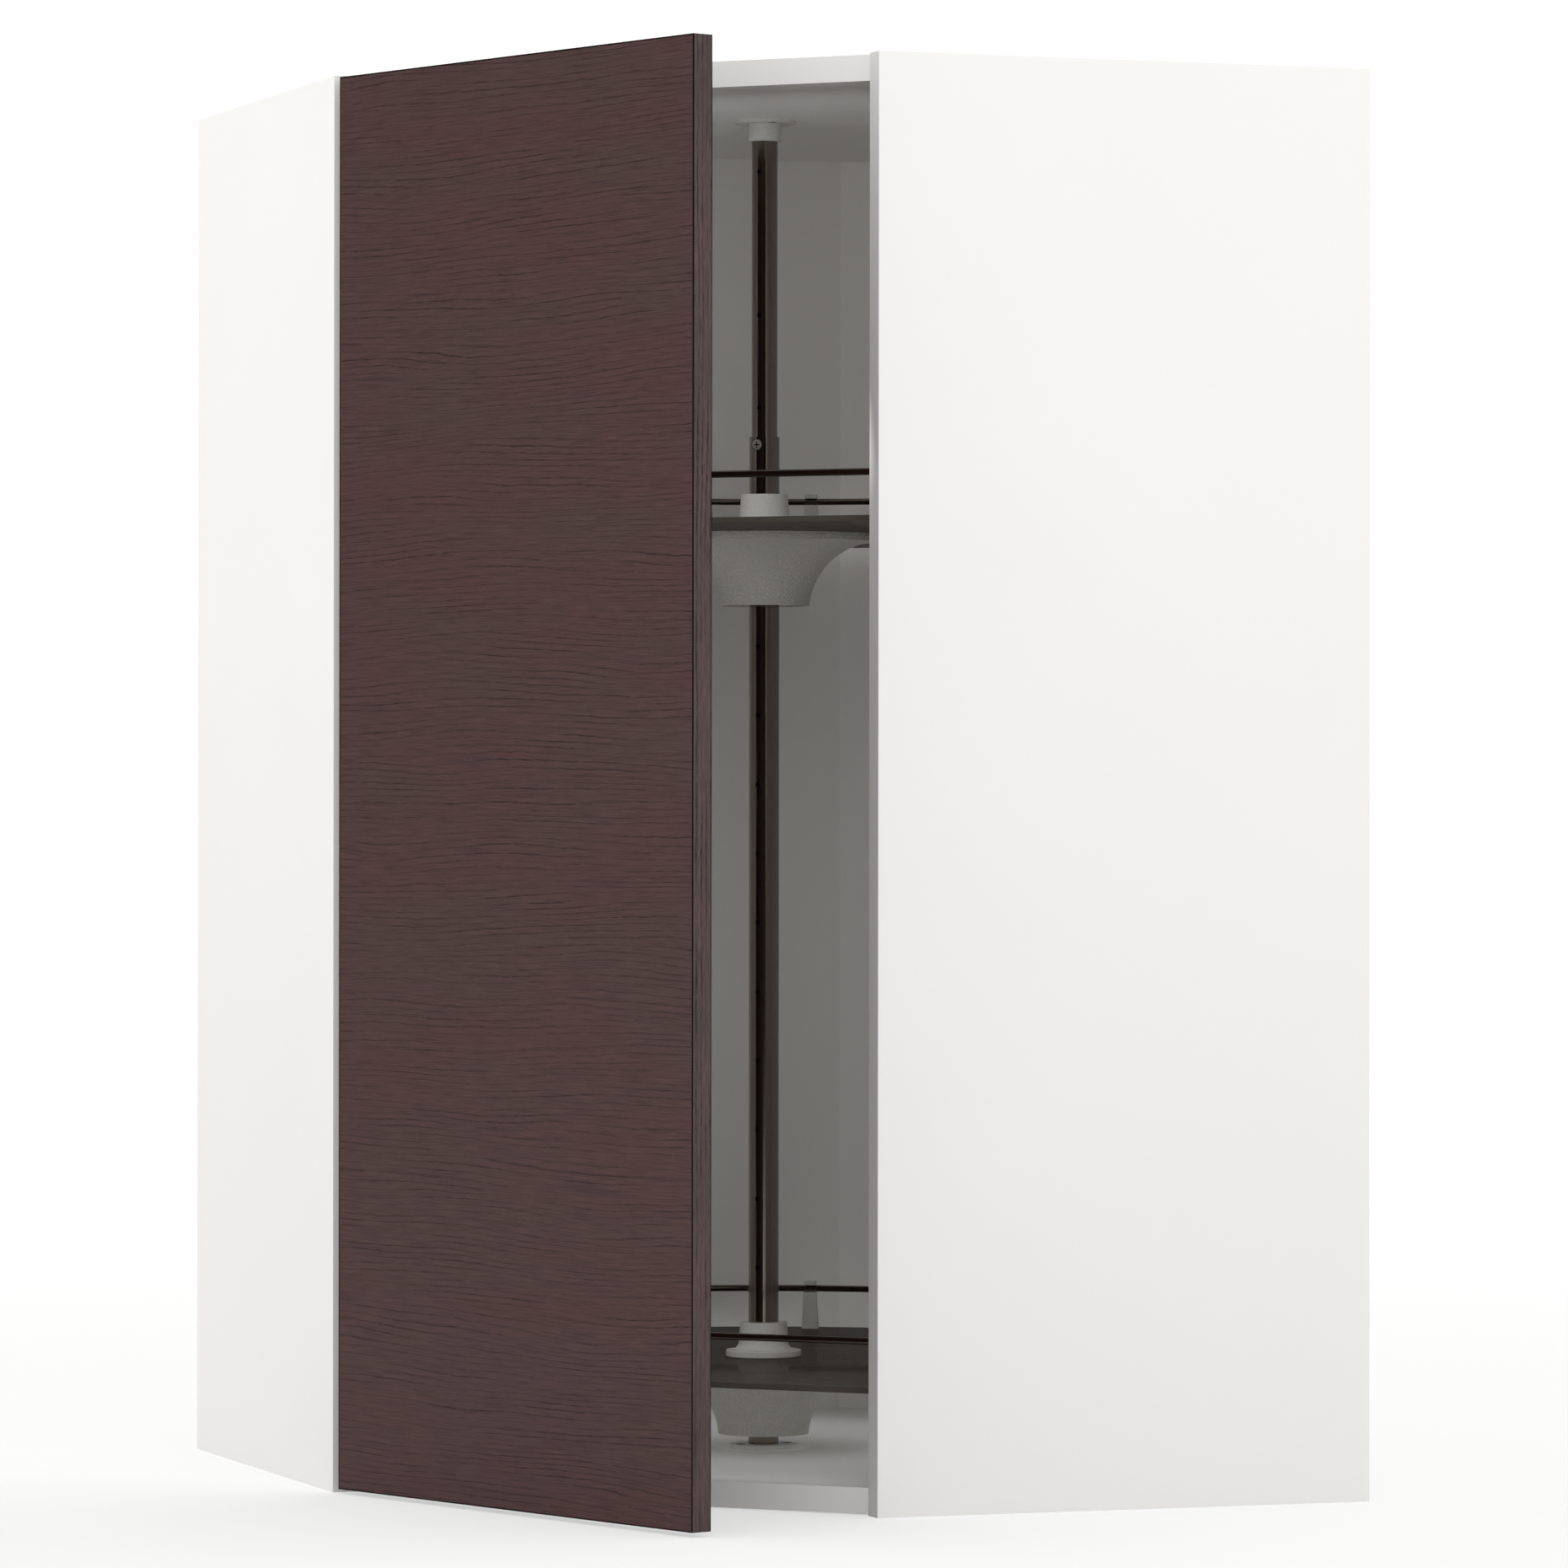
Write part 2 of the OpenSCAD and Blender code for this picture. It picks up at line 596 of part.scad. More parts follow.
// Side view of the arm's cheeks: a long foot over the mounting plate and a round nose
module arm_side() {
    translate([arm_pin_off, -arm_pin_reach]) circle(r = nose_r, $fn = 48);
    translate([arm_pin_off - nose_r, -arm_pin_reach]) square([2 * nose_r, arm_end + arm_pin_reach]);
    polygon([[arm_pin_off - nose_r + over, 4], [arm_foot, 14], [arm_foot, arm_end],
        [arm_pin_off, arm_end]]);
}
module hinge_arms() color(STEEL) at_hinges() at_left_arris() difference() {
    union() {
        cheeks(arm_in, arm_out) arm_side();
        translate([arm_top - hinge_sheet_t, arm_web_start, -arm_out])
            cube([hinge_sheet_t, arm_end - arm_web_start, 2 * arm_out]);
    }
    translate([arm_pin_off, -arm_pin_reach, -arm_out - over])
        cylinder(d = hinge_pin_d + 2 * running_gap, h = 2 * (arm_out + over), $fn = 48);
    for (u = arm_screw_rows) translate([arm_pin_off, u, 0]) rotate([0, 90, 0])
        cylinder(d = flange_screw_d + 2 * seat_gap, h = arm_top);
}
module hinge_arm_screws() color(STEEL) at_hinges() at_left_arris() for (u = arm_screw_rows)
    translate([arm_top, u, 0]) rotate([0, 90, 0]) pan_screw(flange_screw_d, 7, 7, 1.6);

module hinge_pin(half) translate([0, 0, -half]) cylinder(d = hinge_pin_d, h = 2 * half, $fn = 48);
module eye_hole() translate([0, 0, -cup_d])
    cylinder(d = hinge_pin_d + 2 * running_gap, h = 2 * cup_d, $fn = 48);

module hinge_arm_pins() color(STEEL) at_hinges() at_plan(arm_pin) hinge_pin(arm_out);
module hinge_inner_links() color(STEEL) at_hinges() at_plan(arm_pin) difference() {
    cheeks(inner_link_in, inner_link_out) link_outline(crank, eye_r - 0.4);
    eye_hole();
    at_plan(crank) eye_hole();
}
module hinge_knee_pins() color(STEEL) at_hinges() at_plan(knee_pin) hinge_pin(inner_link_out);
module hinge_outer_links() color(STEEL) at_hinges() at_plan(knee_pin) difference() {
    translate([0, 0, -outer_link_half]) linear_extrude(height = 2 * outer_link_half)
        link_outline(cup_pin - knee_pin, eye_r - 0.7);
    eye_hole();
    at_plan(cup_pin - knee_pin) eye_hole();
}

cup_r = cup_d / 2 - seat_gap;
cup_skin = 1;
// Cup flange as seen on the door's back: a disc and two screw ears
module cup_flange_outline() {
    circle(r = cup_r + 1.5);
    translate([cup_screw_in - 7, -cup_screw_pitch / 2]) square([14, cup_screw_pitch]);
    for (s = [-1, 1]) translate([cup_screw_in, s * cup_screw_pitch / 2]) circle(r = 7);
}
module hinge_cups() color(STEEL) opened() at_hinges() {
    on_door_back() translate([cup_edge_gap, 0, 0]) difference() {
        union() {
            translate([0, 0, -hinge_sheet_t]) linear_extrude(height = hinge_sheet_t)
                cup_flange_outline();
            cylinder(r = cup_r, h = cup_depth - seat_gap);
        }
        translate([0, 0, -hinge_sheet_t - over])
            cylinder(r = cup_r - cup_skin, h = hinge_sheet_t + over + cup_depth - seat_gap - cup_skin);
        for (s = [-1, 1]) translate([cup_screw_in, s * cup_screw_pitch / 2, -hinge_sheet_t - over])
            cylinder(d = flange_screw_d, h = hinge_sheet_t + 2 * over);
    }
    // Two lugs on the cup's floor, for its pin
    at_plan(cup_pin_closed) difference() {
        cheeks(inner_link_in, inner_link_out) {
            circle(r = eye_r, $fn = 48);
            translate([-eye_r, cup_pin_depth - cup_depth + cup_skin / 2])
                square([2 * eye_r, cup_depth - cup_pin_depth - cup_skin / 2]);
        }
        eye_hole();
    }
}
module hinge_cup_pins() color(STEEL) opened() at_hinges() at_plan(cup_pin_closed)
    hinge_pin(inner_link_out);
module hinge_cup_screws() color(STEEL) opened() at_hinges() on_door_back() for (s = [-1, 1])
    translate([cup_edge_gap + cup_screw_in, s * cup_screw_pitch / 2, -hinge_sheet_t])
        mirror([0, 0, 1]) pan_screw(3.5, cup_screw_l + hinge_sheet_t, 6.6, 1.8);

// ---- Door ----

module door_slab(edge) translate([door_edge_x + edge, door_back_y - door_t, door_bottom_gap + edge])
    cube([door_w - 2 * edge, door_t, door_h - 2 * edge]);
module door_panel() color(FOIL) opened() difference() {
    door_slab(edging_t);
    at_hinges() on_door_back() {
        translate([cup_edge_gap, 0, -over]) cylinder(d = cup_d, h = cup_depth + over);
        for (s = [-1, 1])
            translate([cup_edge_gap + cup_screw_in, s * cup_screw_pitch / 2, -over])
                cylinder(d = 3.5 + 2 * seat_gap, h = cup_screw_l + over + seat_gap);
    }
}
// Four strips: the upright ones run the whole height, the others lie between them
module door_edging() color(EDGE_FOIL) opened() {
    for (x = [door_edge_x, -door_edge_x - edging_t])
        translate([x, door_back_y - door_t, door_bottom_gap]) cube([edging_t, door_t, door_h]);
    for (z = [door_bottom_gap, door_bottom_gap + door_h - edging_t])
        translate([door_edge_x + edging_t, door_back_y - door_t, z])
            cube([door_w - 2 * edging_t, door_t, edging_t]);
}
module door_bumpers() color([0.9, 0.9, 0.9, 0.6]) opened()
    for (z = [panel_mid, cabinet_h - panel_mid])
        translate([-door_edge_x - bumper_in, door_back_y, z]) rotate([-90, 0, 0])
            cylinder(r = bumper_r, h = bumper_t);

// ---- Trays, with z = 0 at the hub pin ----

module at_hub_screws() for (a = [90, 210, 330]) rotate(a) translate([hub_screw_r, 0, 0]) children();
// x along the rail, y outwards
module at_posts() {
    for (a = post_angles) rotate(a) translate([0, rail_r, 0]) children();
    translate([0, -rail_front, 0]) rotate(180) children();
}

module tray() color(SMOKE) translate([0, 0, hub_drop - tray_t]) difference() {
    linear_extrude(height = tray_t) d_outline(tray_r, tray_front, tray_corner_r);
    translate([0, 0, -over]) {
        cylinder(r = sleeve_r + seat_gap, h = tray_t + 2 * over);
        at_hub_screws() cylinder(d = hub_screw_d + 4 * seat_gap, h = tray_t + 2 * over);
        at_posts() cylinder(d = post_screw_d + 4 * seat_gap, h = tray_t + 2 * over, $fn = 32);
    }
}

// Closed loop of wire: a long arc round the back, two bends and a straight front. The arc is a
// hair thinner than the bends, and its ends run a little way into them.
module rail() color(STEEL) {
    cy = rail_bend_r - rail_front;
    cx = sqrt(pow(rail_r - rail_bend_r, 2) - cy * cy);
    bend = 90 + atan2(cy, cx);
    lap = 0.1;
    translate([0, 0, hub_drop + rail_h]) {
        rotate(bend - 90 - lap) rotate_extrude(angle = 360 - 2 * bend + 2 * lap, $fn = 180)
            translate([rail_r, 0]) circle(d = wire_d - 0.02, $fn = 32);
        for (s = [0, 1]) mirror([s, 0, 0]) translate([cx, cy, 0]) rotate(-90)
            rotate_extrude(angle = bend) translate([rail_bend_r, 0]) circle(d = wire_d, $fn = 32);
        translate([-cx, -rail_front, 0]) rotate([0, 90, 0]) cylinder(d = wire_d, h = 2 * cx, $fn = 32);
    }
}

// Tapered clip whose mouth faces the pole
module rail_post() {
    h = rail_h + wire_d / 2 + post_cap_h;
    mouth = wire_d + 2 * seat_gap;
    difference() {
        intersection() {
            translate([0, post_w, 0]) rotate([90, 0, 0]) linear_extrude(height = 2 * post_w)
                polygon([[-post_w / 2, 0], [post_w / 2, 0], [post_top_w / 2, h], [-post_top_w / 2, h]]);
            translate([-post_w, 0, 0]) rotate([90, 0, 90]) linear_extrude(height = 2 * post_w)
                polygon([[-post_d / 2, 0], [post_d / 2, 0], [post_top_d / 2, h], [-post_top_d / 2, h]]);
        }
        translate([-post_w, 0, rail_h]) rotate([0, 90, 0])
            cylinder(d = mouth, h = 2 * post_w, $fn = 32);
        translate([-post_w, -post_d, rail_h - mouth / 2]) cube([2 * post_w, post_d, mouth]);
        translate([0, 0, -over])
            cylinder(d = post_screw_d + 2 * seat_gap, h = post_screw_grip + over + seat_gap, $fn = 32);
    }
}
module rail_posts() color(PLASTIC) translate([0, 0, hub_drop]) at_posts() rail_post();
module post_screws() color(STEEL) translate([0, 0, hub_drop - tray_t]) at_posts()
    mirror([0, 0, 1]) pan_screw(post_screw_d, tray_t + post_screw_grip, 6.6, 2);

// Flared shell with a sleeve, a web and ribs inside; its rim is at z = 0 here
module flare_side(extra) difference() {
    square([flare_x, web_z]);
    translate([flare_x, -flare_drop]) circle(r = flare_r + extra);
}
module bell() color(PLASTIC) translate([0, 0, bell_z]) difference() {
    sleeve_z = ring_above + thrust_gap - bell_z;
    rib_z = web_z - 8.6;
    rib_r = flare_x - sqrt(pow(flare_r + bell_wall / 2, 2) - pow(rib_z + flare_drop, 2));
    union() {
        rotate_extrude() {
            difference() {
                flare_side(0);
                flare_side(bell_wall);
            }
            translate([sleeve_r - over, web_z])
                square([flare_x + bell_flange_lip - sleeve_r + over, bell_flange_t]);
            translate([0, sleeve_z]) square([sleeve_r, bell_h + tray_t - sleeve_z]);
        }
        for (i = [0 : rib_count - 1]) rotate(i * 360 / rib_count)
            translate([sleeve_r - over, -1, rib_z]) cube([rib_r - sleeve_r + over, 2, web_z - rib_z + over]);
    }
    cylinder(r = lower_tube_r + running_gap, h = bell_h + tray_t + over);
    at_hub_screws() translate([0, 0, web_z - over])
        cylinder(d = hub_screw_d + 4 * seat_gap, h = bell_flange_t + 2 * over);
}

module collar() color(PLASTIC) translate([0, 0, hub_drop]) difference() {
    fillet_r = 6;
    ring_r0 = collar_top_d / 2 + 0.85;       // the ring widens a little towards its foot
    rotate_extrude() difference() {
        union() {
            square([collar_foot_d / 2 - 1, collar_foot_h]);
            translate([0, 1]) square([collar_foot_d / 2, collar_foot_h - 2]);
            for (z = [1, collar_foot_h - 1]) translate([collar_foot_d / 2 - 1, z]) circle(r = 1, $fn = 32);
            square([ring_r0 + fillet_r, collar_foot_h + fillet_r]);
            polygon([[0, 0], [ring_r0, 0], [ring_r0, collar_foot_h + fillet_r],
                [collar_top_d / 2, collar_h], [0, collar_h]]);
        }
        translate([ring_r0 + fillet_r, collar_foot_h + fillet_r]) circle(r = fillet_r);
    }
    translate([0, 0, -over]) {
        cylinder(r = lower_tube_r + 2 * seat_gap, h = collar_h + 2 * over);
        at_hub_screws() cylinder(d = hub_screw_d + seat_gap, h = hub_screw_grip + over + seat_gap);
    }
}
module hub_screws() color(STEEL) translate([0, 0, bell_z + web_z]) at_hub_screws()
    mirror([0, 0, 1]) pan_screw(hub_screw_d, bell_flange_t + tray_t + hub_screw_grip, 7.2, 2.4);

module at_lower() translate([0, 0, pin_heights[0]]) children();
module at_upper() translate([0, 0, pin_heights[1]]) children();
module lower_tray() at_lower() tray();
module lower_rail() at_lower() rail();
module lower_rail_posts() at_lower() rail_posts();
module lower_post_screws() at_lower() post_screws();
module lower_bell() at_lower() bell();
module lower_collar() at_lower() collar();
module lower_hub_screws() at_lower() hub_screws();
module upper_tray() at_upper() tray();
module upper_rail() at_upper() rail();
module upper_rail_posts() at_upper() rail_posts();
module upper_post_screws() at_upper() post_screws();
module upper_bell() at_upper() bell();
module upper_collar() at_upper() collar();
module upper_hub_screws() at_upper() hub_screws();

left_end_panel();
right_end_panel();
top_panel();
bottom_panel();
left_back_panel();
right_back_panel();
corner_back_panel();
upper_hanging_rails();
lower_hanging_rails();
cam_locks();
cam_bolts();
dowels();
base_flange();
base_flange_screws();
ceiling_flange();
ceiling_flange_screws();
lower_pole_tube();
upper_pole_tube();
pole_clamp_screw();
hub_support_pins();
thrust_rings();
hinge_plates();
hinge_plate_screws();
hinge_arms();
hinge_arm_screws();
hinge_arm_pins();
hinge_inner_links();
hinge_knee_pins();
hinge_outer_links();
door_panel();
door_edging();
hinge_cups();
hinge_cup_screws();
hinge_cup_pins();
door_bumpers();
lower_tray();
lower_rail();
lower_rail_posts();
lower_post_screws();
lower_bell();
lower_collar();
lower_hub_screws();
upper_tray();
upper_rail();
upper_rail_posts();
upper_post_screws();
upper_bell();
upper_collar();
upper_hub_screws();
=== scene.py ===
# %% [markdown]
# # A corner carousel cabinet
#
# The cabinet's solids come ready from the CAD frame, each at its real size and place. Their
# shapes are complete, down to the cross recesses of the screws, so no piece is modelled anew
# here. What is left to do is what a picture needs: the finishes, a floor, the light and the
# camera of a catalogue shot. All sizes are in metres unless a name ends in _mm or _MM.

# %% Load the frame
import math

import bpy
from mathutils import Matrix, Vector


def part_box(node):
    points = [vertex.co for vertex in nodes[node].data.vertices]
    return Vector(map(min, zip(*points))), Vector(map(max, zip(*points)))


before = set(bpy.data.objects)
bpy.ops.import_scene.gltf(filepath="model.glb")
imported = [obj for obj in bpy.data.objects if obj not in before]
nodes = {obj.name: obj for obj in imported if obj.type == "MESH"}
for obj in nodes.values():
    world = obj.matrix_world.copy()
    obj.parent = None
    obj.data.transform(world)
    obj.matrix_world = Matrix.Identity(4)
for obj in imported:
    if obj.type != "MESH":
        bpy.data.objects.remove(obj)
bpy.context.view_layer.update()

# %% [markdown]
# ## Helpers
#
# Colours are written as the sRGB hex values that a picture shows. Cycles works in linear light,
# so one function turns them over. A material is a small graph, and one function adds a node to
# it: its settings go in by name, each input is a value or the socket that feeds it, and one
# output comes back, ready to feed the next node. SMOOTH eases a range in and out, so that a
# pattern shows no hard edge.

# %% Colour and nodes
MM = 0.001
SMOOTH = {"interpolation_type": "SMOOTHSTEP"}


def linear(hex_colour):
    """An sRGB hex colour as linear red, green, blue and alpha."""
    channels = [int(hex_colour[i:i + 2], 16) / 255 for i in (1, 3, 5)]
    return [c / 12.92 if c <= 0.04045 else ((c + 0.055) / 1.055) ** 2.4 for c in channels] + [1.0]


def add(tree, kind, inputs=None, output=0, **settings):
    """Adds a node, sets it up, fills or links its inputs, and returns one of its outputs."""
    node = tree.nodes.new(kind)
    for name, value in settings.items():
        setattr(node, name, value)
    for name, value in (inputs or {}).items():
        if isinstance(value, bpy.types.NodeSocket):
            tree.links.new(value, node.inputs[name])
        else:
            node.inputs[name].default_value = value
    return node.outputs[output]


print("mid grey #808080 in linear light:", round(linear("#808080")[0], 3))

# %% [markdown]
# A material starts with its surface shader and with the object's own coordinates, so that a
# pattern stays on its piece. What is the same all over the surface is set on the shader itself,
# and patterns are then linked over it. It ends on the pieces that it is made for.

# %% Materials
def material(name, **surface):
    """A new material, with its tree, its surface shader and its object coordinates."""
    made = bpy.data.materials.new(name)
    made.use_nodes = True
    tree = made.node_tree
    shader = tree.nodes["Principled BSDF"]
    for socket, value in surface.items():
        shader.inputs[socket.replace("_", " ")].default_value = value
    place = add(tree, "ShaderNodeTexCoord", output="Object")
    return made, tree, shader, place


def dress(tree, shader, **patterns):
    """Feeds the shader's sockets from patterns."""
    for socket, source in patterns.items():
        tree.links.new(source, shader.inputs[socket.replace("_", " ")])


finished = set()


def finish(made, *names):
    """Gives a material to CAD nodes."""
    for name in names:
        slots = nodes[name].data.materials
        slots.clear()
        slots.append(made)
    finished.update(names)
    print(made.name, "on", ", ".join(names))


# %% [markdown]
# ## White melamine board
#
# The case is chipboard faced with white melamine paper, pressed against a finely etched plate.
# It is a closed, hard surface: even in colour, softly glossy, with a faint orange-peel grain of
# about half a millimetre. Noise in the roughness and a very low bump give that without any
# visible pattern. The thin back panels are lacquered hardboard, a little coarser and duller.
#
# The left end panel is seen at a flat angle. There a glossy surface shows its surroundings,
# which are dark in this scene, and turns grey. So the gloss of both end panels is only a thin
# coat, which keeps them white from every side.

# %% White board
CLOUDS_PER_METRE = 6.0


def white_board(name, colours, grain_mm, roughness, specular=0.25, coat=0.0):
    made, tree, shader, place = material(name, Specular_IOR_Level=specular, Coat_Weight=coat,
                                         Coat_Roughness=0.35)
    grain = add(tree, "ShaderNodeTexNoise", {"Vector": place, "Scale": 1 / (grain_mm * MM),
                                             "Detail": 2.0, "Roughness": 0.5})
    cloud = add(tree, "ShaderNodeTexNoise", {"Vector": place, "Scale": CLOUDS_PER_METRE,
                                             "Detail": 2.0})
    tone = add(tree, "ShaderNodeMix", {"Factor": cloud, "A": linear(colours[0]),
                                       "B": linear(colours[1])}, "Result", data_type="RGBA")
    gloss = add(tree, "ShaderNodeMapRange", {"Value": grain, "To Min": roughness - 0.05,
                                             "To Max": roughness + 0.08})
    bump = add(tree, "ShaderNodeBump", {"Height": grain, "Strength": 0.06, "Distance": 0.05 * MM})
    dress(tree, shader, Base_Color=tone, Roughness=gloss, Normal=bump)
    return made


paper_white = ("#F6F5F3", "#F9F8F6")
finish(white_board("melamine_faced_board_white", paper_white, grain_mm=0.5, roughness=0.42),
       "top_panel", "bottom_panel", "corner_back_panel", "upper_hanging_rails",
       "lower_hanging_rails")
finish(white_board("melamine_faced_board_white_ends", paper_white, grain_mm=0.5, roughness=0.42,
                   specular=0.0, coat=0.2), "left_end_panel", "right_end_panel")
finish(white_board("lacquered_hardboard_white", ("#F4F3F0", "#F7F6F3"), grain_mm=0.8,
                   roughness=0.5), "left_back_panel", "right_back_panel")

# %% [markdown]
# ## Dark ash-effect foil
#
# The door is wrapped in a printed foil: dark brown ash, its grain running across. The door
# stands open, so its pattern needs coordinates that lie along the door and not along the case.
# A soft noise, stretched to the size of a streak, is the base of all that follows: pushed
# through a smooth step it makes pores, fibres, smudges, and places where a line fades.

# %% Along the door, and the grain's noise
SWING_AXIS = Vector((-206.497 * MM, -260.172 * MM, 0))
DOOR_TURN = math.radians(25.1)
to_door = Matrix.Rotation(DOOR_TURN, 3, "Z")


def door_coordinates(tree, place):
    """Coordinates with x along the door from its swing axis, y through it and z up."""
    back = to_door @ SWING_AXIS
    return add(tree, "ShaderNodeMapping", {"Vector": place, "Location": (-back.x, -back.y, 0),
                                           "Rotation": (0, 0, DOOR_TURN)})


def grain_noise(tree, place, size_mm, detail=2.0, roughness=0.5, seed=(0, 0, 0)):
    """Noise whose spots are size_mm long, deep and high."""
    scaled = add(tree, "ShaderNodeMapping", {"Vector": place, "Location": seed,
                                             "Scale": [1 / (s * MM) for s in size_mm]})
    return add(tree, "ShaderNodeTexNoise", {"Vector": scaled, "Scale": 1.0, "Detail": detail,
                                            "Roughness": roughness})


def grain_layer(tree, place, size_mm, limits, strengths=(0.0, 1.0), detail=2.0, roughness=0.5,
                seed=(0, 0, 0)):
    """Noise turned into a layer: strengths[0] below limits[0], strengths[1] above limits[1]."""
    noise = grain_noise(tree, place, size_mm, detail, roughness, seed)
    return add(tree, "ShaderNodeMapRange", {
        "Value": noise, "From Min": limits[0], "From Max": limits[1],
        "To Min": strengths[0], "To Max": strengths[1]}, **SMOOTH)


print("swing axis in mm:", [round(c / MM, 1) for c in SWING_AXIS])

# %% [markdown]
# Growth rings cut by a flat board are the contour lines of a smooth field, so they are built in
# the same way: the height on the door is counted in ring pitches and warped by long soft noise,
# each layer of it shorter and weaker than the one before.

# %% Growth rings
WARP_SEED = (3.7, 0, 1.3)


def ring_field(tree, place, across_axis, ring_pitch_mm, warps, grain_size):
    """The height across the grain in ring pitches. A warp is its length and height in mm, and
    the number of pitches by which it shifts the rings."""
    across = add(tree, "ShaderNodeSeparateXYZ", {"Vector": place}, across_axis)
    rings = add(tree, "ShaderNodeMath", {0: across, 1: ring_pitch_mm * MM}, operation="DIVIDE")
    for step, (along, over, pitches) in enumerate(warps):
        drift = grain_noise(tree, place, grain_size(along, over), seed=[s * step for s in WARP_SEED])
        drift = add(tree, "ShaderNodeMath", {0: drift, 1: pitches}, operation="MULTIPLY")
        rings = add(tree, "ShaderNodeMath", {0: rings, 1: drift}, operation="ADD")
    return rings


# %% [markdown]
# A dark line is drawn wherever that field passes a whole number. A real line has one sharp side
# and fades on the other, and between two of them finer, fainter ones show. On the door's face a
# line weakens and comes back over some 170 mm and is ragged every 12 mm, and on the narrow
# sides over half of that.

# %% Ring lines
SHARP_SIDE_FROM = 0.94
FINER_LINES = 2.7
FINER_WIDTH = 0.55


def ring_lines(tree, place, rings, line_width, grain_size):
    """Dark lines, from 0 to 1, where the ring field passes a whole number."""
    part = add(tree, "ShaderNodeMath", {0: rings}, operation="FRACT")
    fading = add(tree, "ShaderNodeMapRange", {"Value": part, "From Min": line_width,
                                              "From Max": 0.0}, **SMOOTH)
    sharp = add(tree, "ShaderNodeMapRange", {"Value": part, "From Min": SHARP_SIDE_FROM,
                                             "From Max": 1.0}, **SMOOTH)
    line = add(tree, "ShaderNodeMath", {0: fading, 1: sharp}, operation="MAXIMUM")
    weaker = grain_layer(tree, place, grain_size(85, 11), (0.36, 0.66), (0.22, 1.0),
                         roughness=0.6, seed=(0, 0, 9))
    ragged = grain_layer(tree, place, grain_size(6, 0.7), (0.34, 0.60), (0.25, 1.0),
                         roughness=0.65)
    for layer in (weaker, ragged):
        line = add(tree, "ShaderNodeMath", {0: line, 1: layer}, operation="MULTIPLY")
    finer = add(tree, "ShaderNodeMath", {0: rings, 1: FINER_LINES}, operation="MULTIPLY")
    finer = add(tree, "ShaderNodeMath", {0: finer}, operation="FRACT")
    finer = add(tree, "ShaderNodeMapRange", {"Value": finer, "From Min": FINER_WIDTH,
                                             "From Max": 0.0}, **SMOOTH)
    faint = grain_layer(tree, place, grain_size(40, 6), (0.42, 0.66), (0.0, 0.38),
                        roughness=0.6, seed=(4, 0, 6))
    finer = add(tree, "ShaderNodeMath", {0: finer, 1: faint}, operation="MULTIPLY")
    return add(tree, "ShaderNodeMath", {0: line, 1: finer}, operation="MAXIMUM")


# %% [markdown]
# The ground is two close browns in soft patches. Over it lie four stains: fibres, smudges,
# pores and the ring lines. Real pores of ash are about 0.3 mm wide. They are drawn 0.7 mm wide,
# or they wouldn't show. Lines and pores are also pressed a little way into the foil, and the
# print is duller where a line is dark.

# %% Ash foil
FIBRE, SMUDGE, PORE, RING = "#2E2021", "#3A2D33", "#281A1B", "#1A1011"


def ash_foil(name, warps, ring_pitch_mm, grain_size, across_axis, line_width, browns):
    """Ash-effect foil. grain_size turns (along, over) in mm into the three sizes of a noise."""
    made, tree, shader, place = material(name, Specular_IOR_Level=0.2)
    place = door_coordinates(tree, place)
    rings = ring_field(tree, place, across_axis, ring_pitch_mm, warps, grain_size)
    line = ring_lines(tree, place, rings, line_width, grain_size)
    patch = grain_layer(tree, place, grain_size(110, 60), (0.32, 0.68), detail=3.0,
                        roughness=0.55, seed=(5, 0, 2))
    fibre = grain_layer(tree, place, grain_size(15, 0.7), (0.36, 0.66), (0.0, 0.42),
                        roughness=0.7, seed=(6, 0, 4))
    smudge = grain_layer(tree, place, grain_size(60, 13), (0.62, 0.84), (0.0, 0.45),
                         seed=(2, 0, 8))
    pores = grain_layer(tree, place, grain_size(8, 0.7), (0.54, 0.74), roughness=0.7,
                        seed=(1, 0, 3))
    pore_stain, pore_depth, ring_stain = (
        add(tree, "ShaderNodeMath", {0: layer, 1: share}, operation="MULTIPLY")
        for layer, share in ((pores, 0.28), (pores, 0.5), (line, 0.85)))
    colour = linear(browns[0])
    for amount, stain in ((patch, browns[1]), (fibre, FIBRE), (smudge, SMUDGE),
                          (pore_stain, PORE), (ring_stain, RING)):
        colour = add(tree, "ShaderNodeMix", {"Factor": amount, "A": colour, "B": linear(stain)},
                     "Result", data_type="RGBA")
    pressed = add(tree, "ShaderNodeMath", {0: line, 1: pore_depth}, operation="MAXIMUM")
    height = add(tree, "ShaderNodeMath", {0: 1.0, 1: pressed}, operation="SUBTRACT")
    bump = add(tree, "ShaderNodeBump", {"Height": height, "Strength": 0.3, "Distance": 0.08 * MM})
    dull = add(tree, "ShaderNodeMapRange", {"Value": line, "To Min": 0.40, "To Max": 0.55},
               **SMOOTH)
    dress(tree, shader, Base_Color=colour, Normal=bump, Roughness=dull)
    return made, tree, shader, place, colour


# %% The door's face
FACE_STRETCH = 2.0
UNCHANGED_MM = 9000


def face_grain(along, over):
    """Streaks along x, longer than on the edges, and unchanged through the door."""
    return FACE_STRETCH * along, UNCHANGED_MM, over


face_foil, *_ = ash_foil("ash_effect_foil_across",
                         warps=((240, 90, 9.0), (80, 26, 1.5), (10, 5, 0.35)),
                         ring_pitch_mm=4.6, grain_size=face_grain, across_axis="Z",
                         line_width=0.26, browns=("#593D3C", "#55403D"))
finish(face_foil, "door_panel")

# %% [markdown]
# ## Edging and its dark arris
#
# The narrow sides carry the same foil with its grain along them, as strips 1 mm thick. Seen
# from the front, only the cut end of the strip shows: a thin, nearly black line round the face.
# A line could be modelled, but the strip is a solid already. So its material looks at how deep
# a point lies in the door, and darkens what lies in the front or the back skin.

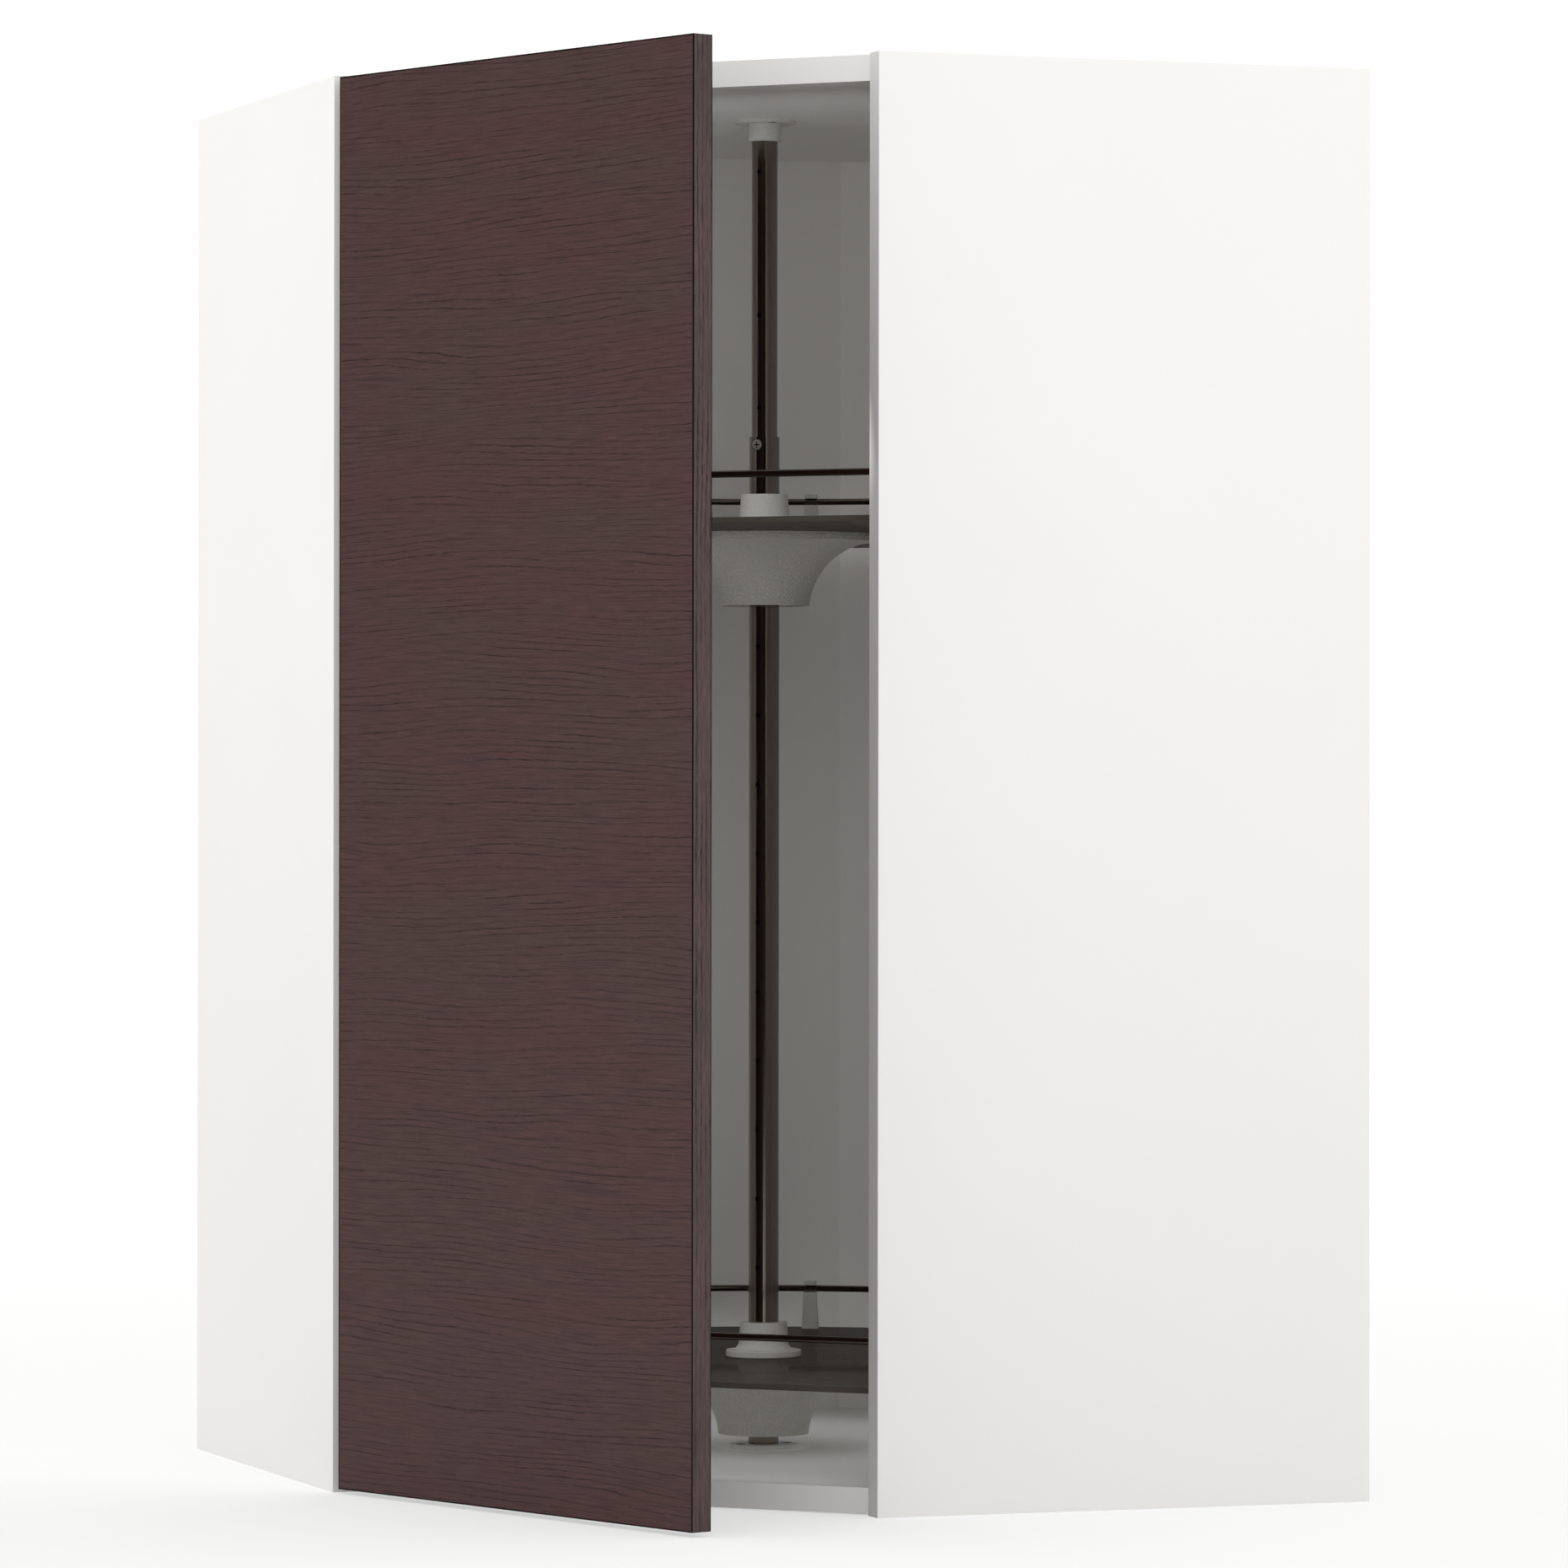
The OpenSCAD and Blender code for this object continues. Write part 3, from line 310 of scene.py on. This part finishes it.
# %% Edging
SKIN_MM = (0.75, 0.4)


def edge_grain(along, over):
    """Streaks along the strips, and over each other through the door."""
    return along, over, along


depths = [(to_door @ (v.co - SWING_AXIS)).y for v in nodes["door_edging"].data.vertices]
door_front, door_back = min(depths), max(depths)
print("door thickness in mm:", round((door_back - door_front) / MM, 2))

edge_foil, tree, shader, place, colour = ash_foil(
    "ash_effect_foil_upright", warps=((500, 60, 3.0), (160, 14, 1.2), (24, 4, 0.3)),
    ring_pitch_mm=3.8, grain_size=edge_grain, across_axis="Y", line_width=0.62,
    browns=("#675453", "#5B4F4C"))
through = add(tree, "ShaderNodeSeparateXYZ", {"Vector": place}, "Y")
front_skin, back_skin = (
    add(tree, "ShaderNodeMapRange", {"Value": through, "From Min": face + inwards * SKIN_MM[0] * MM,
                                     "From Max": face + inwards * SKIN_MM[1] * MM}, **SMOOTH)
    for face, inwards in ((door_front, 1), (door_back, -1)))
skin = add(tree, "ShaderNodeMath", {0: front_skin, 1: back_skin}, operation="MAXIMUM")
edged = add(tree, "ShaderNodeMix", {"Factor": skin, "A": colour, "B": linear("#080303")},
            "Result", data_type="RGBA")
dress(tree, shader, Base_Color=edged)
finish(edge_foil, "door_edging")

# %% [markdown]
# ## Plated and zinc-coated steel
#
# The tubes and wires are steel with a thin, dark-toned nickel plating. A metal has no colour
# but that of its reflection, so it needs only a tint, a gloss and the faint lines that drawing
# leaves along it. Real ones are much finer than the half millimetre drawn here, which is the
# least that shows. The hinges are pressed from sheet and tumbled before plating, so they carry
# a fine even grain, and their dull film is drawn as not quite metallic, which keeps them light
# among dark reflections. Zinc-plated screws and die-cast cams are duller still, and the screws
# of the two flanges are phosphated: nearly black.

# %% Metals
DRAWN_LINES_MM = (0.5, 0.5, 400)
GLOSS_SPREAD = (0.75, 1.35)


def plated_steel(name, colour, roughness, grain_mm=None, metallic=1.0):
    """Drawn steel, or with grain_mm steel with an even grain of that size."""
    made, tree, shader, place = material(name, Metallic=metallic, Base_Color=linear(colour))
    lines = grain_noise(tree, place, (grain_mm,) * 3 if grain_mm else DRAWN_LINES_MM)
    gloss = add(tree, "ShaderNodeMapRange", {
        "Value": lines, "From Min": 0.25, "From Max": 0.75,
        "To Min": roughness * GLOSS_SPREAD[0], "To Max": roughness * GLOSS_SPREAD[1]}, **SMOOTH)
    bump = add(tree, "ShaderNodeBump", {"Height": lines, "Strength": 0.05, "Distance": 0.02 * MM})
    dress(tree, shader, Roughness=gloss, Normal=bump)
    return made


finish(plated_steel("nickel_plated_tube_dark", "#8A8278", roughness=0.12), "lower_pole_tube",
       "upper_pole_tube")
finish(plated_steel("nickel_plated_wire_dark", "#8A8278", roughness=0.14), "lower_rail",
       "upper_rail")
finish(plated_steel("nickel_plated_sheet_steel", "#CFCBC3", roughness=0.30, grain_mm=0.4,
                    metallic=0.65),
       "hinge_plates", "hinge_arms", "hinge_inner_links", "hinge_outer_links", "hinge_cups")
finish(plated_steel("zinc_plated_screw_steel", "#BDBAB3", roughness=0.34, grain_mm=0.4,
                    metallic=0.7),
       "cam_bolts", "hub_support_pins", "hinge_plate_screws", "hinge_arm_screws",
       "hinge_arm_pins", "hinge_knee_pins", "hinge_cup_screws", "hinge_cup_pins",
       "lower_post_screws", "upper_post_screws", "lower_hub_screws", "upper_hub_screws")
finish(plated_steel("phosphated_screw_steel", "#2E2A28", roughness=0.45, grain_mm=0.4,
                    metallic=0.7), "base_flange_screws", "ceiling_flange_screws")
finish(plated_steel("zinc_die_casting", "#B5B3AE", roughness=0.42, grain_mm=0.6, metallic=0.7),
       "cam_locks")

# %% [markdown]
# ## The clamp screw's head
#
# The screw that clamps the two tubes is the one fastener that faces the camera. Its cross
# recess and the foot of its round head are darkened in the colour: this is painted shade,
# standing in for the shadow that falls in these hollows. Both places are told by the
# distance from the screw's axis and the depth below its face, so the painted shade stays on
# the screw from any side.

# %% Clamp screw
RECESS_DEPTH_MM = (0.15, 0.45)
RECESS_RADIUS_MM = (2.6, 2.3)
FOOT_RADIUS_MM = (3.5, 4.0)
# painted shade: the dark colour stands in for shadow in the cross recess and at the head's foot
NICKEL, RECESS_SHADE = "#A8A39B", "#15110F"

low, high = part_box("pole_clamp_screw")
centre, face_y = (low + high) / 2, low.y
print("clamp screw head in mm:", round((high.x - low.x) / MM, 2))

clamp_finish = plated_steel("nickel_plated_screw_head", NICKEL, roughness=0.30, grain_mm=0.4,
                            metallic=0.6)
tree = clamp_finish.node_tree
place = add(tree, "ShaderNodeTexCoord", output="Object")
from_face = add(tree, "ShaderNodeMapping", {"Vector": place,
                                            "Location": (-centre.x, -face_y, -centre.z)})
depth = add(tree, "ShaderNodeSeparateXYZ", {"Vector": from_face}, "Y")
flat = add(tree, "ShaderNodeVectorMath", {0: from_face, 1: (1, 0, 1)}, operation="MULTIPLY")
radius = add(tree, "ShaderNodeVectorMath", {0: flat}, "Value", operation="LENGTH")
sunk, near_axis, foot = (
    add(tree, "ShaderNodeMapRange", {"Value": value, "From Min": start * MM,
                                     "From Max": end * MM}, **SMOOTH)
    for value, (start, end) in ((depth, RECESS_DEPTH_MM), (radius, RECESS_RADIUS_MM),
                                (radius, FOOT_RADIUS_MM)))
recess = add(tree, "ShaderNodeMath", {0: sunk, 1: near_axis}, operation="MULTIPLY")
shade = add(tree, "ShaderNodeMath", {0: recess, 1: foot}, operation="MAXIMUM")
# painted shade: mixes the dark colour into the recess and the foot of the head
painted_shade_colour = add(tree, "ShaderNodeMix", {"Factor": shade, "A": linear(NICKEL), "B": linear(RECESS_SHADE)},
             "Result", data_type="RGBA")
dress(tree, tree.nodes["Principled BSDF"], Base_Color=painted_shade_colour)
finish(clamp_finish, "pole_clamp_screw")

# %% [markdown]
# ## Moulded plastic
#
# Hubs, posts and flanges are injection-moulded ABS in a light grey. The bells come from an
# etched tool with a leather-like grain of about 2 mm: rounded pebbles with a narrow valley
# between them. Voronoi cells have that shape, and bending their coordinates with noise takes
# away their straight sides. The valleys are also darkened in the colour: painted shade, which
# helps the grain show in soft light. The small parts have the fine matt skin of a
# spark-eroded tool. Its real grain is too small to show, so it is drawn 1.1 mm wide and very low.

# %% Grey plastic
BEND_CELLS = 1.4
TONES_PER_METRE = 18.0
# painted shade: the colour of the valleys between the pebbles
VALLEY_SHADE = "#6E6C67"


def grey_plastic(name, tones, cell_mm, depth_mm, roughness):
    """Moulded plastic with raised cells of about cell_mm, like fine leather."""
    made, tree, shader, place = material(name)
    bend = add(tree, "ShaderNodeTexNoise", {"Vector": place, "Scale": 0.5 / (cell_mm * MM),
                                            "Detail": 2.0}, "Color")
    bend = add(tree, "ShaderNodeVectorMath", {0: bend, 1: [BEND_CELLS * cell_mm * MM] * 3},
               operation="MULTIPLY")
    bent = add(tree, "ShaderNodeVectorMath", {0: bend, 1: place}, operation="ADD")
    cells = add(tree, "ShaderNodeTexVoronoi", {"Vector": bent, "Scale": 1 / (cell_mm * MM),
                                               "Smoothness": 0.35}, feature="SMOOTH_F1")
    pebble = add(tree, "ShaderNodeMapRange", {"Value": cells, "From Min": 0.15, "From Max": 0.75,
                                              "To Min": 1.0, "To Max": 0.0}, **SMOOTH)
    cloud = add(tree, "ShaderNodeTexNoise", {"Vector": place, "Scale": TONES_PER_METRE})
    cloud = add(tree, "ShaderNodeMapRange", {"Value": cloud, "From Min": 0.3, "From Max": 0.7},
                **SMOOTH)
    # painted shade: darkens the valleys between the pebbles
    valley = add(tree, "ShaderNodeMapRange", {"Value": pebble, "From Max": 0.6, "To Min": 0.09,
                                              "To Max": 0.0}, **SMOOTH)
    colour = linear(tones[0])
    for amount, tone in ((cloud, tones[1]), (valley, VALLEY_SHADE)):
        colour = add(tree, "ShaderNodeMix", {"Factor": amount, "A": colour, "B": linear(tone)},
                     "Result", data_type="RGBA")
    bump = add(tree, "ShaderNodeBump", {"Height": pebble, "Strength": 1.0,
                                        "Distance": depth_mm * MM})
    gloss = add(tree, "ShaderNodeMapRange", {"Value": pebble, "To Min": roughness + 0.08,
                                             "To Max": roughness - 0.06}, **SMOOTH)
    dress(tree, shader, Base_Color=colour, Normal=bump, Roughness=gloss)
    return made


finish(grey_plastic("abs_grey_leather_grain", ("#CBC9C3", "#C6C4BE"), cell_mm=2.0,
                    depth_mm=0.45, roughness=0.42), "lower_bell", "upper_bell")
finish(grey_plastic("abs_grey_fine_grain", ("#DBDAD5", "#D6D5D0"), cell_mm=1.1, depth_mm=0.10,
                    roughness=0.40),
       "lower_collar", "upper_collar", "lower_rail_posts", "upper_rail_posts", "thrust_rings",
       "base_flange", "ceiling_flange")

# %% [markdown]
# ## Smoked tray sheet
#
# The trays are cut from smoke-brown styrene sheet with polished faces. Each face lets about a
# tenth of the light through. Alpha does that in a straight line, which is right for a thin flat
# sheet. A thin coat gives the gloss, as on the end panels, because the trays too are seen at a
# flat angle. Faint clouds as wide as a hand keep the large faces from looking printed.

# %% Tray sheet
def smoked_sheet(name):
    made, tree, shader, place = material(name, Roughness=0.30, Alpha=0.91, Specular_IOR_Level=0.0,
                                         Coat_Weight=0.18, Coat_Roughness=0.05)
    flow = grain_layer(tree, place, (120, 60, 120), (0.3, 0.7), detail=3.0, roughness=0.6)
    colour = add(tree, "ShaderNodeMix", {"Factor": flow, "A": linear("#4E4942"),
                                         "B": linear("#57514A")}, "Result", data_type="RGBA")
    dress(tree, shader, Base_Color=colour)
    return made


finish(smoked_sheet("smoked_styrene_sheet"), "lower_tray", "upper_tray")

# %% [markdown]
# ## Small hidden parts
#
# The dowels are turned beech, pale with fine fibres of about a millimetre. The bumpers that
# stop the door are clear soft plastic. Each of their faces lets nearly half of the light
# through, and they are never quite evenly glossy.

# %% Dowels and bumpers
beech, tree, shader, place = material("beech_dowel_wood", Roughness=0.6)
fibre = grain_noise(tree, place, (1.2, 1.2, 1.2), detail=3.0)
wood = add(tree, "ShaderNodeMix", {"Factor": fibre, "A": linear("#C3A477"),
                                   "B": linear("#D2B68B")}, "Result", data_type="RGBA")
dress(tree, shader, Base_Color=wood)
finish(beech, "dowels")

bumper, tree, shader, place = material("clear_soft_bumper", Alpha=0.55)
haze = grain_noise(tree, place, (1.0, 1.0, 1.0))
clouded = add(tree, "ShaderNodeMix", {"Factor": haze, "A": linear("#E2E2DE"),
                                      "B": linear("#EAEAE6")}, "Result", data_type="RGBA")
gloss = add(tree, "ShaderNodeMapRange", {"Value": haze, "From Min": 0.3, "From Max": 0.7,
                                         "To Min": 0.16, "To Max": 0.26}, **SMOOTH)
dress(tree, shader, Base_Color=clouded, Roughness=gloss)
finish(bumper, "door_bumpers")
print("nodes without a finish:", sorted(set(nodes) - finished))

# %% [markdown]
# ## Floor
#
# The picture is a cut-out on white. A floor that is only pale would end in a grey horizon, so
# each floor turns clear with distance and gives way to the white world. There are two. The
# camera sees a nearly white one, almost half clear even near the cabinet, which leaves a breath
# of shadow. The light sees another, 2 mm lower, that carries a painted shadow: it is darker
# near the cabinet and paler further out, so that the white panels get darker towards their
# feet, as they do in a studio.

# %% Two floors
FLOOR_WIDTH = 60
TONE_FROM, TONE_TO = 0.5, 1.8
CLEAR_FROM, CLEAR_TO = 1.0, 6.0


def studio_floor(name, level, near, far, clear_near):
    """A wide plane at a level, near in colour by the cabinet and far beyond, fading to clear."""
    bpy.ops.object.select_all(action="DESELECT")
    bpy.ops.mesh.primitive_plane_add(size=FLOOR_WIDTH, location=(0, 0, level))
    floor = bpy.context.object
    floor.name = name
    paint, tree, shader, place = material(name + "_paint", Roughness=0.9, Specular_IOR_Level=0.0)
    away = add(tree, "ShaderNodeVectorMath", {0: place}, "Value", operation="LENGTH")
    beyond = add(tree, "ShaderNodeMapRange", {"Value": away, "From Min": TONE_FROM,
                                              "From Max": TONE_TO}, **SMOOTH)
    tone = add(tree, "ShaderNodeMix", {"Factor": beyond, "A": linear(near), "B": linear(far)},
               "Result", data_type="RGBA")
    dress(tree, shader, Base_Color=tone)
    clearness = add(tree, "ShaderNodeMapRange", {
        "Value": away, "From Min": CLEAR_FROM, "From Max": CLEAR_TO, "To Min": clear_near,
        "To Max": 1.0}, **SMOOTH)
    clear = add(tree, "ShaderNodeBsdfTransparent")
    fade = add(tree, "ShaderNodeMixShader", {"Fac": clearness, 1: shader.outputs[0], 2: clear})
    tree.links.new(fade, tree.nodes["Material Output"].inputs["Surface"])
    floor.data.materials.append(paint)
    print(name, "at", level, "m")
    return floor


seen_floor = studio_floor("studio_floor", 0.0, near="#F4F4F3", far="#F4F4F3", clear_near=0.45)
seen_floor.visible_diffuse = seen_floor.visible_glossy = seen_floor.visible_shadow = False
# painted shadow: the bounce floor's colour is darker near the cabinet, standing in for shade round
# its foot
bounce_floor = studio_floor("bounce_floor", -2 * MM, near="#DADAD9", far="#F2F2F1",
                            clear_near=0.0)
bounce_floor.visible_camera = False

# %% [markdown]
# ## Light
#
# Most of the light comes from a white world, a third weaker overhead, so that the top is a
# shade darker than the sides. Reflections don't see the world: in the picture the tubes and
# wires mirror dark surroundings.

# %% World
SIDE_STRENGTH, OVERHEAD_STRENGTH = 1.17, 0.74
DIM_FROM, DIM_TO = 0.2, 1.0

world = bpy.data.worlds.new("white_studio")
world.use_nodes = True
world.cycles_visibility.glossy = False
bpy.context.scene.world = world
sky_tree = world.node_tree
sky = add(sky_tree, "ShaderNodeTexCoord", output="Generated")
height = add(sky_tree, "ShaderNodeSeparateXYZ", {"Vector": sky}, "Z")
strength = add(sky_tree, "ShaderNodeMapRange", {
    "Value": height, "From Min": DIM_FROM, "From Max": DIM_TO, "To Min": SIDE_STRENGTH,
    "To Max": OVERHEAD_STRENGTH}, **SMOOTH)
backdrop = sky_tree.nodes["Background"]
backdrop.inputs["Color"].default_value = linear("#FFFFFF")
dress(sky_tree, backdrop, Strength=strength)
print("world strength:", SIDE_STRENGTH, "at the sides,", OVERHEAD_STRENGTH, "overhead")

# %% [markdown]
# Two soft lamps stand at the right and low at the left. Three faint ones inside the case, one
# for each compartment, give the even grey that the picture shows there. They stay out of
# reflections, and no lamp is seen by the camera.

# %% Lamps
def soft_lamp(name, at, towards, width, height, watts):
    """A lamp that shines from a rectangle, width by height, at one place towards another."""
    data = bpy.data.lights.new(name, "AREA")
    data.shape, data.size, data.size_y, data.energy = "RECTANGLE", width, height, watts
    lamp = bpy.data.objects.new(name, data)
    bpy.context.scene.collection.objects.link(lamp)
    lamp.location = at
    lamp.rotation_euler = (Vector(towards) - Vector(at)).to_track_quat("-Z", "Y").to_euler()
    lamp.visible_camera = False
    print(name, watts, "W")
    return lamp


soft_lamp("right_lamp", (4.6, -4.5, 1.4), (0, 0, 0.6), 2.0, 2.0, 15)
soft_lamp("left_lamp", (-3.4, -2.5, 0.64), (-0.3, -0.3, 0.3), 2.0, 1.2, 9.5)
for lamp in (
        soft_lamp("upper_lamp", (0, -0.245, 0.80), (0, 0.34, 0.67), 0.38, 0.18, 0.27),
        soft_lamp("middle_lamp", (0, -0.245, 0.34), (0, 0, 0.34), 0.38, 0.48, 0.33),
        soft_lamp("low_lamp", (0, 0.01, 0.077), (0, 0.01, 0), 0.42, 0.48, 0.22)):
    lamp.visible_glossy = False

# %% [markdown]
# ## Camera
#
# The picture's own camera was worked out from edges and corners whose real places are known. It
# stands 5.4 m away at half the cabinet's height and looks almost level, so upright lines stay
# parallel. Its focal length is known in pixels and becomes millimetres by the width of the
# sensor. The Standard view keeps the whites as white as the picture has them, and twice the
# usual number of bounces carries the light to the back of the case.

# %% Camera
CAMERA_AT = (2.3104, -4.8451, 0.49606)
CAMERA_HEADING = math.radians(45) - 0.343128
CAMERA_PITCH = 0.000805
CAMERA_ROLL = 0.001063
FOCAL_PX, FRAME_PX, SENSOR_MM = 8775.33, 1860, 36.0
LIGHT_BOUNCES = 8

camera_data = bpy.data.cameras.new("photo_camera")
camera_data.sensor_width = SENSOR_MM
camera_data.lens = FOCAL_PX * SENSOR_MM / FRAME_PX
camera = bpy.data.objects.new("photo_camera", camera_data)
bpy.context.scene.collection.objects.link(camera)
camera.matrix_world = (Matrix.Translation(CAMERA_AT) @ Matrix.Rotation(CAMERA_HEADING, 4, "Z")
                       @ Matrix.Rotation(math.pi / 2 + CAMERA_PITCH, 4, "X")
                       @ Matrix.Rotation(CAMERA_ROLL, 4, "Z"))
bpy.context.scene.camera = camera
bpy.context.scene.view_settings.view_transform = "Standard"
bpy.context.scene.cycles.diffuse_bounces = LIGHT_BOUNCES
print("lens in mm:", round(camera_data.lens, 1))
